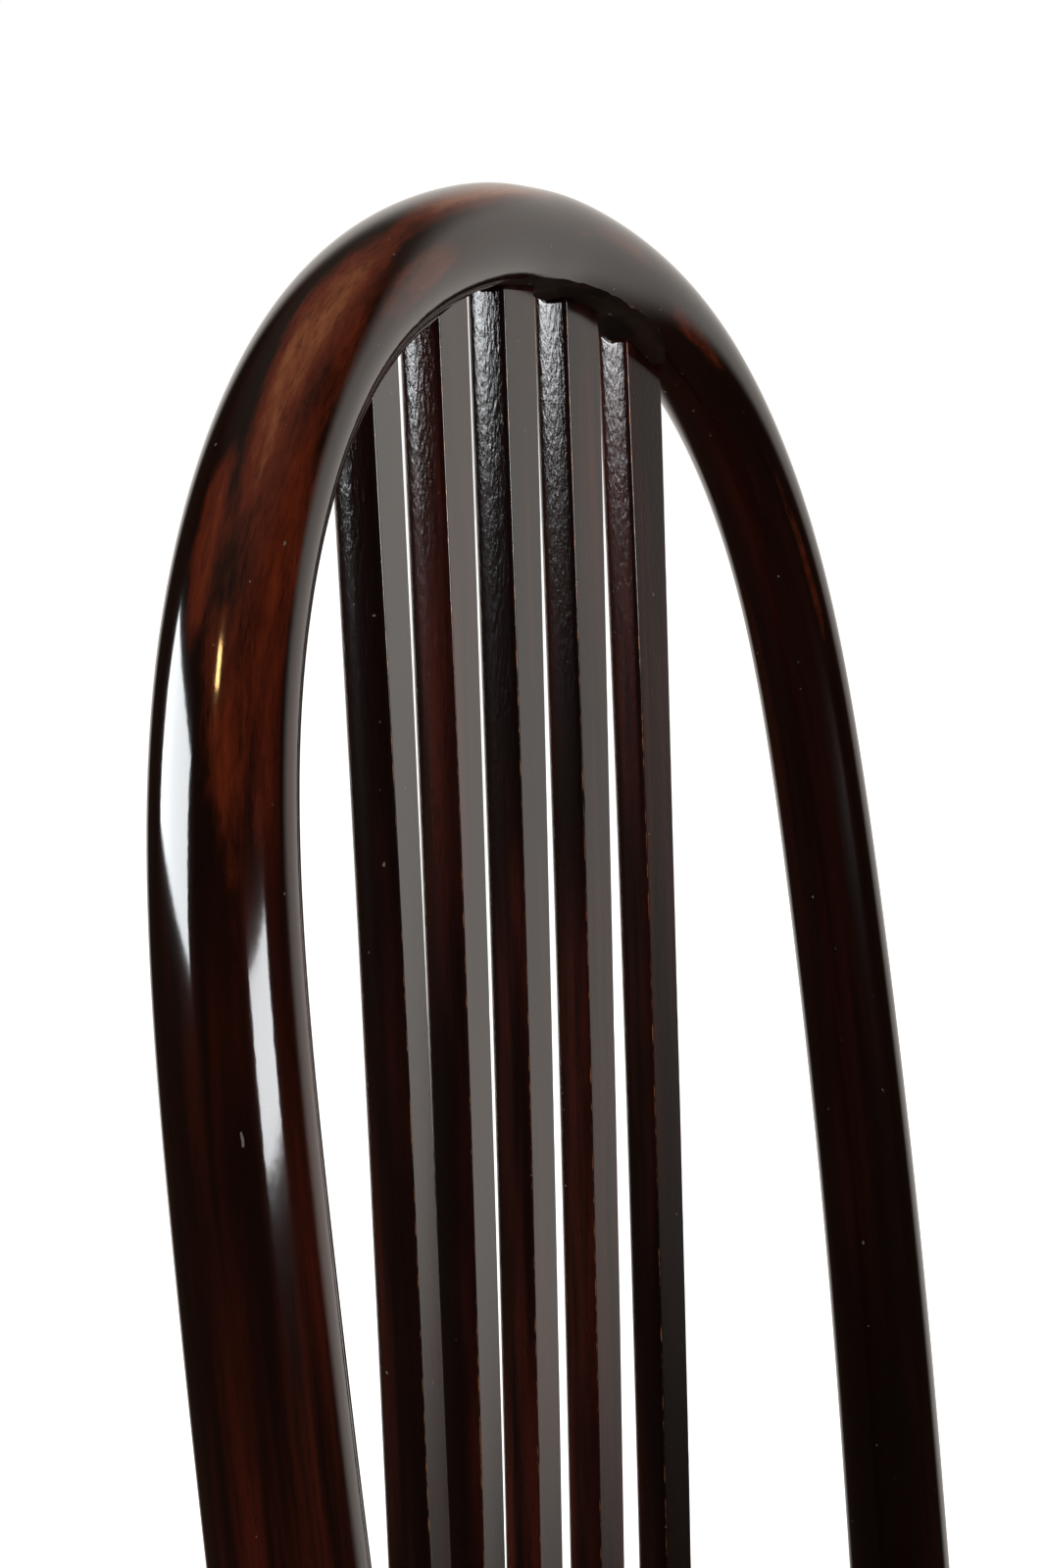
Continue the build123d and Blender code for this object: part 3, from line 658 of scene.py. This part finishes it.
def between(tree, value, low, high):
    """Smooth step from 0 at low to 1 at high."""
    return node(tree, "MapRange", {"Value": value, "From Min": low, "From Max": high},
                interpolation_type="SMOOTHSTEP")


def mark(tree, name):
    """A value that the mesh carries at each point."""
    return node(tree, "Attribute", output=2, attribute_name=name)


def wood_noise(tree, along, across, detail=3.0, roughness=0.55, shift=0.0):
    """Noise drawn out down the grain; along and across are cycles per metre."""
    straight = node(tree, "Attribute", output=1, attribute_name="straight")
    place = node(tree, "VectorMath", {0: straight, 1: (along, across, across), 2: (shift, shift, shift)},
                 operation="MULTIPLY_ADD")
    return node(tree, "TexNoise", {"Vector": place, "Scale": 1.0, "Detail": detail, "Roughness": roughness})


def new_material(name):
    material = bpy.data.materials.new(name)
    material.use_nodes = True
    tree = material.node_tree
    return material, tree, tree.nodes["Principled BSDF"]


def connect(tree, shader, **inputs):
    """Set or link the shader's inputs; an underscore stands for a space."""
    for socket, value in inputs.items():
        target = shader.inputs[socket.replace("_", " ")]
        if isinstance(value, bpy.types.NodeSocket):
            tree.links.new(value, target)
        else:
            target.default_value = value


# ---------------------------------------------------------------- wood finishes
DARK = (0.0060, 0.0016, 0.0008)
WARM = (0.060, 0.0072, 0.0030)
WARM_SLAT = (0.060, 0.009, 0.005)
VENEER = (0.014, 0.0035, 0.002), (0.085, 0.014, 0.006)
PORE = (0.004, 0.0015, 0.001)
RUBBED = (0.120, 0.018, 0.006)
WORN = (0.30, 0.105, 0.038)
BARE = (0.34, 0.13, 0.05)
DRY = (0.005, 0.003, 0.002), (0.020, 0.010, 0.006)
OLD_GLUE = (0.16, 0.12, 0.08)
DUST = (0.16, 0.14, 0.12)
FLOOR_DIRT = (0.10, 0.085, 0.07)


def rub_and_wear(tree, colour, dark, wear):
    """Stain that hands have rubbed to red and worn through, ragged along the grain."""
    # Painted shade: where the red mark is low, on the right leg and the rod's inside, the stain is darkened
    # to near black.
    colour = blend(tree, mark(tree, "red_and_shade"), dark, colour)
    ragged = wood_noise(tree, 30, 150, detail=6, roughness=0.7, shift=51)
    amount = calculate(tree, "MULTIPLY_ADD", ragged, 1.3, -0.65)
    amount = calculate(tree, "ADD", amount, mark(tree, wear))
    gate = between(tree, mark(tree, wear), 0.02, 0.3)
    amount = calculate(tree, "MULTIPLY", amount, gate)
    colour = blend(tree, between(tree, amount, 0.1, 0.6), colour, RUBBED)
    return blend(tree, between(tree, amount, 0.5, 1.0), colour, WORN)


def bare_corners(tree, colour, edge, edge_hold):
    """Corners with the finish knocked off here and there; edge_hold keeps it on."""
    rub = wood_noise(tree, 170, 320, detail=4, shift=31)
    amount = calculate(tree, "MULTIPLY_ADD", rub, 2.4, -edge_hold)
    amount = calculate(tree, "ADD", mark(tree, edge), amount)
    return blend(tree, between(tree, amount, 0.75, 1.1), colour, BARE)


def stained_wood(name, dark, warm, wear=None, edge=None, edge_hold=1.35, bumpy=None, pore_depth=0.25,
                 coat_bump=0.1, coat_scale=120, coat_roughness=0.1):
    """Bentwood stained nearly black under shellac.

    wear, edge and bumpy name the marks on the mesh that say where the stain is rubbed, where
    a corner is, and where the shellac lies uneven.
    """
    material, tree, shader = new_material(name)
    cloud = wood_noise(tree, 5, 38, detail=3)
    streak = wood_noise(tree, 9, 260, detail=4, shift=7)
    fibre = wood_noise(tree, 60, 2400, detail=2, shift=13)
    fleck = wood_noise(tree, 190, 1500, detail=1, shift=21)

    tone = calculate(tree, "MULTIPLY", between(tree, cloud, 0.36, 0.66), between(tree, streak, 0.3, 0.72))
    colour = blend(tree, tone, dark, warm)
    rough = calculate(tree, "MULTIPLY_ADD", streak, 0.3, 0.3)
    if wear:
        colour = rub_and_wear(tree, colour, dark, wear)
    flecks = between(tree, fleck, 0.56, 0.68)
    darker = blend(tree, 0.55, colour, PORE)
    colour = blend(tree, calculate(tree, "MULTIPLY", flecks, 0.6), colour, darker)
    specks = between(tree, wood_noise(tree, 520, 760, detail=0, shift=61), 0.87, 0.90)
    colour = blend(tree, specks, colour, DUST)
    if edge:
        colour = bare_corners(tree, colour, edge, edge_hold)
    grain = calculate(tree, "ADD", calculate(tree, "MULTIPLY", fibre, 0.4), flecks)
    bump = node(tree, "Bump", {"Strength": pore_depth, "Distance": 0.0002, "Height": grain}, invert=True)
    polish = wood_noise(tree, coat_scale, 3.5 * coat_scale, detail=3, shift=41)
    if bumpy:
        polish = calculate(tree, "MULTIPLY", polish, mark(tree, bumpy))
    coat_bumps = node(tree, "Bump", {"Strength": coat_bump, "Distance": 0.0004, "Height": polish})
    connect(tree, shader, Base_Color=colour, Roughness=rough, Normal=bump, Specular_IOR_Level=0.0,
            Coat_Weight=1.0, Coat_Roughness=coat_roughness, Coat_IOR=1.5, Coat_Normal=coat_bumps)
    return material


def cut_wood(name):
    """The hand-cut recess: dark, dry wood with tool marks and crumbs of old glue."""
    material, tree, shader = new_material(name)
    cloud = wood_noise(tree, 40, 90, detail=4)
    fibre = wood_noise(tree, 90, 1400, detail=3, shift=5)
    glue = wood_noise(tree, 150, 170, detail=3, shift=17)
    colour = blend(tree, between(tree, cloud, 0.35, 0.7), *DRY)
    colour = blend(tree, between(tree, glue, 0.68, 0.74), colour, OLD_GLUE)
    height = calculate(tree, "ADD", calculate(tree, "MULTIPLY", cloud, 2.0), fibre)
    bump = node(tree, "Bump", {"Strength": 0.6, "Distance": 0.0004, "Height": height})
    connect(tree, shader, Base_Color=colour, Roughness=0.75, Normal=bump, Specular_IOR_Level=0.05)
    return material


# ---------------------------------------------------------------- metal and plastic
def metal(name, light, dark, roughness, scratch_scale):
    """Handled metal, duller and darker in clouds, with fine scratches."""
    material, tree, shader = new_material(name)
    place = node(tree, "TexCoord", output="Object")
    cloud = node(tree, "TexNoise", {"Vector": place, "Scale": 260.0, "Detail": 4.0})
    scratch = node(tree, "TexNoise", {"Vector": place, "Scale": scratch_scale, "Detail": 2.0,
                                      "Distortion": 1.5})
    colour = blend(tree, between(tree, cloud, 0.38, 0.66), light, dark)
    rough = calculate(tree, "MULTIPLY_ADD", cloud, 0.35, roughness - 0.15)
    bump = node(tree, "Bump", {"Strength": 0.15, "Distance": 0.0001, "Height": scratch})
    connect(tree, shader, Base_Color=colour, Roughness=rough, Normal=bump, Metallic=1.0)
    return material


def plastic(name, colour):
    """Grainy plastic with floor dirt on it."""
    material, tree, shader = new_material(name)
    place = node(tree, "TexCoord", output="Object")
    dirt = node(tree, "TexNoise", {"Vector": place, "Scale": 180.0, "Detail": 5.0})
    dusty = blend(tree, between(tree, dirt, 0.45, 0.75), colour, FLOOR_DIRT)
    rough = calculate(tree, "MULTIPLY_ADD", dirt, 0.3, 0.35)
    grainy = node(tree, "TexNoise", {"Vector": place, "Scale": 2500.0, "Detail": 1.0})
    bump = node(tree, "Bump", {"Strength": 0.2, "Distance": 0.0001, "Height": grainy})
    connect(tree, shader, Base_Color=dusty, Roughness=rough, Normal=bump)
    return material


def dress(name, material):
    """Give a CAD node its finish."""
    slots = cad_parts[name].data.materials
    slots.clear()
    slots.append(material)


# ---------------------------------------------------------------- the chair
hoop_wood = stained_wood("shellacked_rod", DARK, WARM, wear="wear", edge="lip", edge_hold=1.6,
                         pore_depth=0.15, coat_bump=0.05, coat_roughness=0.09)
slat_wood = stained_wood("shellacked_slat", DARK, WARM_SLAT, edge="edge", bumpy="side",
                         pore_depth=0.18, coat_bump=0.38, coat_scale=330, coat_roughness=0.15)
seat_wood = stained_wood("shellacked_seat_ring", DARK, WARM, pore_depth=0.2, coat_bump=0.08)
panel_wood = stained_wood("shellacked_veneer", *VENEER, pore_depth=0.35, coat_bump=0.08, coat_roughness=0.16)

hoop_piece(hoop_wood, cut_wood("dry_recess"))
for number, slat_name in enumerate(SLAT_NAMES):
    slat_piece(number - 2, slat_name, slat_wood)
seat_ring_piece(seat_wood)
seat_panel_piece(panel_wood)
stretcher_piece(seat_wood)
for leg_name, leg_side in (("left", -1), ("right", 1)):
    front_leg_piece(leg_name, leg_side, seat_wood)

brass = metal("aged_brass", (0.56, 0.38, 0.15), (0.22, 0.13, 0.055), 0.38, 900.0)
steel = metal("dull_steel", (0.42, 0.41, 0.40), (0.16, 0.13, 0.11), 0.42, 1400.0)
dark_plastic = plastic("dark_plastic", (0.022, 0.020, 0.019))
dress("seat_panel_nails", brass)
for fixing in ("stretcher_screws", "seat_bolts", "seat_bolt_washers", "seat_bolt_nuts"):
    dress(fixing, steel)
for corner in ("front_left", "front_right", "rear_left", "rear_right"):
    dress(f"glide_{corner}", dark_plastic)


# ---------------------------------------------------------------- floor
def floor_plane():
    """Pale floor; it glows more further out, to meet the white backdrop."""
    half = 14.0
    corners = [(-half, -half, 0), (half, -half, 0), (half, half, 0), (-half, half, 0)]
    mesh = bpy.data.meshes.new("floor")
    mesh.from_pydata(corners, [], [(0, 1, 2, 3)])
    floor = bpy.data.objects.new("floor", mesh)
    bpy.context.scene.collection.objects.link(floor)
    material, tree, shader = new_material("pale_floor")
    place = node(tree, "TexCoord", output="Object")
    away = node(tree, "VectorMath", {0: place}, output="Value", operation="LENGTH")
    glow = calculate(tree, "MULTIPLY_ADD", between(tree, away, 0.5, 1.5), 0.6, 0.4)
    connect(tree, shader, Base_Color=(0.86, 0.86, 0.86, 1), Roughness=0.8,
            Emission_Color=(1, 1, 1, 1), Emission_Strength=glow)
    mesh.materials.append(material)
    floor.visible_glossy = False


# ---------------------------------------------------------------- light
def direction(azimuth, elevation):
    """Azimuth 0 is the front of the chair, -Y, and grows towards +X; degrees."""
    a, e = math.radians(azimuth), math.radians(elevation)
    return Vector((math.sin(a) * math.cos(e), -math.cos(a) * math.cos(e), math.sin(e)))


def soft_box(name, azimuth, elevation, wide, tall, radiance, colour=(1, 1, 1), diffuse=False):
    """Area light that spans this many degrees, seen from the top of the chair.

    A plain one shows only in reflections; a diffuse one only lights.
    """
    distance = 3.0
    target = Vector((0, CROWN_Y * METRES, 0.9))
    lamp = bpy.data.lights.new(name, "AREA")
    lamp.shape = "RECTANGLE"
    lamp.size = 2 * distance * math.tan(math.radians(wide / 2))
    lamp.size_y = 2 * distance * math.tan(math.radians(tall / 2))
    lamp.energy = radiance * math.pi * lamp.size * lamp.size_y
    lamp.color = colour
    light = bpy.data.objects.new(name, lamp)
    light.location = target + direction(azimuth, elevation) * distance
    light.rotation_euler = direction(azimuth, elevation).to_track_quat("Z", "Y").to_euler()
    light.visible_camera = False
    light.visible_diffuse = diffuse
    light.visible_glossy = not diffuse
    bpy.context.scene.collection.objects.link(light)


def room():
    """White backdrop for the camera; reflections see it on one side and a dark room on the other."""
    world = bpy.data.worlds.new("room")
    bpy.context.scene.world = world
    world.use_nodes = True
    tree = world.node_tree
    background = tree.nodes["Background"]
    ray = node(tree, "TexCoord", output="Generated")
    backdrop_centre = direction(100, 0)
    facing = node(tree, "VectorMath", {0: ray, 1: backdrop_centre}, output="Value", operation="DOT_PRODUCT")
    height = node(tree, "SeparateXYZ", {0: ray}, output="Z")
    below_top = calculate(tree, "SUBTRACT", 1.0, between(tree, height, 0.45, 0.8))
    backdrop = between(tree, facing, 0.54, 0.74)
    backdrop = calculate(tree, "MULTIPLY", backdrop, between(tree, height, -0.75, -0.3))
    backdrop = calculate(tree, "MULTIPLY", backdrop, below_top)
    dark_room, white, ceiling = (0.026, 0.021, 0.016), (0.92, 0.86, 0.80), (0.17, 0.145, 0.12)
    lit = blend(tree, backdrop, dark_room, white)
    lit = blend(tree, between(tree, height, 0.55, 0.95), lit, ceiling)
    seen = node(tree, "LightPath", output="Is Camera Ray")
    tree.links.new(blend(tree, seen, lit, (1, 1, 1)), background.inputs["Color"])


def camera():
    """At the sitter's left, level with the crown, looking through the back."""
    place = (-0.5146, -0.06825, 0.9901)
    yaw, pitch = math.radians(64.006), math.radians(-10.398)
    forward = Vector((math.sin(yaw) * math.cos(pitch), math.cos(yaw) * math.cos(pitch), math.sin(pitch)))
    right = Vector((math.cos(yaw), -math.sin(yaw), 0))
    up = right.cross(forward)
    lens = bpy.data.cameras.new("camera")
    lens.lens = 49.93
    lens.sensor_width = 36
    lens.clip_start = 0.01
    eye = bpy.data.objects.new("camera", lens)
    turned = Matrix((right, up, -forward)).transposed()
    eye.matrix_world = Matrix.Translation(place) @ turned.to_4x4()
    bpy.context.scene.collection.objects.link(eye)
    bpy.context.scene.camera = eye


floor_plane()
room()
soft_box("window_left", -137, 14.0, 50, 24, 20.0, (0.93, 0.97, 1.0))
soft_box("window_front", -14, 2.3, 30, 11, 18.0, (0.95, 0.98, 1.0))
soft_box("lamp", -75, 40, 5.0, 6, 45.0, (1.0, 0.62, 0.24))
soft_box("fill_left", -120, 30, 50, 40, 1.0, diffuse=True)
soft_box("overhead", 60, 82, 60, 60, 1.6, (1.0, 0.98, 0.95), diffuse=True)
camera()
bpy.context.scene.view_settings.view_transform = "Standard"
